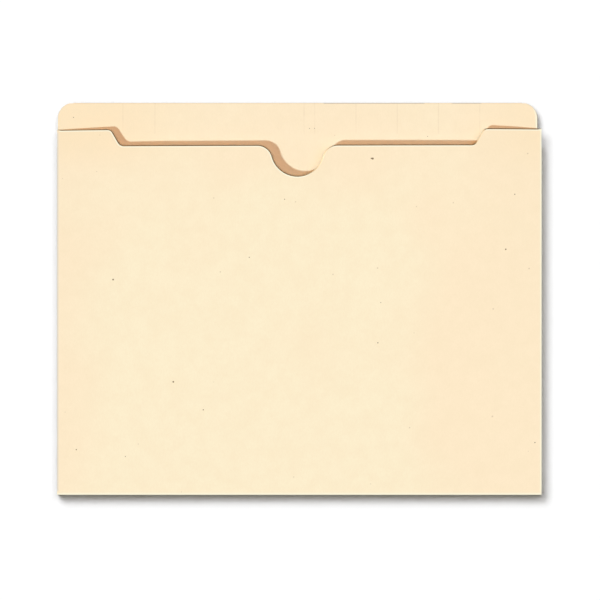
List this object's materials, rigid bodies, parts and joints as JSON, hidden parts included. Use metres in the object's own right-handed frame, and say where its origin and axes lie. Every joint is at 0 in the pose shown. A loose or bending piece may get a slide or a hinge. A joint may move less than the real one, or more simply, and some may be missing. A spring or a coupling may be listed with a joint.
{
  "type": "file pocket",
  "caption": "Flat letter-size card file pocket with a straight index tab, raised front shoulders, an undercut and a thumb notch; its sprung front opens at the mouth.",
  "frame": {"origin": "middle of the jacket's outline, on the surface that its back lies on", "axes": "+X across the jacket to the right as seen from its front, +Y from the bottom fold to the index tab, +Z out of its front"},
  "size_m": [0.2984, 0.2412, 0.0064],
  "materials": {
    "card": "uncoated manila card, faintly flecked, with paler cut edges",
    "adhesive": "thin dried adhesive, amber and slightly glossy"
  },
  "bodies": {
    "back": {"back_panel": "card", "tab_fold": "card", "tab_ply": "card", "tab_glue": "adhesive", "bottom_fold": "card", "left_side_fold": "card", "right_side_fold": "card", "left_side_flap": "card", "right_side_flap": "card", "left_seam_glue": "adhesive", "right_seam_glue": "adhesive"},
    "front": {"front_panel": "card"}
  },
  "joints": [
    {"name": "mouth_opening", "type": "hinge", "parent": "back", "child": "front", "pos_m": [0, -0.12013, 0.00052], "axis": [1, 0, 0], "range_deg": [0, 4], "stiffness_Nm_per_rad": 0.6}
  ]
}
